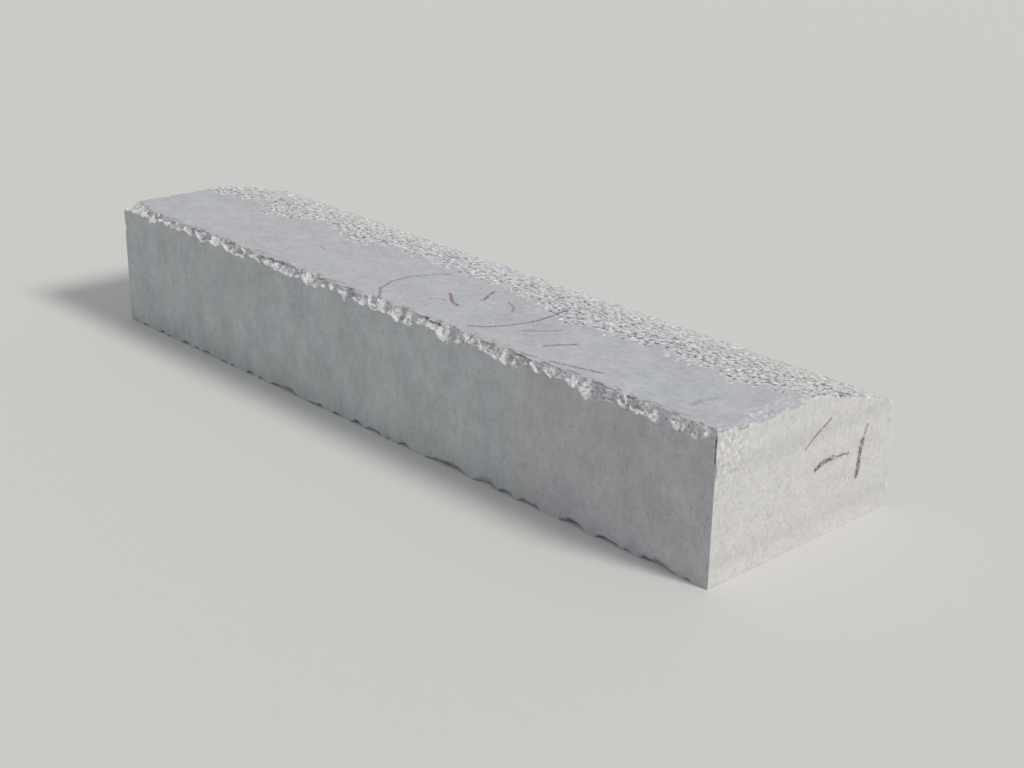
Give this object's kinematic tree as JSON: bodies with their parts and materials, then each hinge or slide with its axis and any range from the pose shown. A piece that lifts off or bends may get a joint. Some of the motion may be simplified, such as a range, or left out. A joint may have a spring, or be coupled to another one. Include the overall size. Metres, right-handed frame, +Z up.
{
  "type": "granite kerb stone",
  "caption": "Straight kerb stone of pale grey granite, sawn, with a bush-hammered batter and rounded crown beside a level sawn strip and a ragged spalled foot edge.",
  "frame": {"origin": "centre of the bounding box, at its bottom: the middle of the sawn back face that the stone lies on", "axes": "+X along the kerb to the end nearest the camera, +Y from the foot to the crown, +Z up out of the kerb's dressed face"},
  "size_m": [1, 0.27, 0.156],
  "materials": {
    "granite": "pale grey granite, sawn on four sides, bush-hammered on the batter and crown, dusty, with fresh fractures on the foot's upper edge"
  },
  "bodies": {
    "root": {"kerb_stone": "granite"}
  },
  "joints": []
}
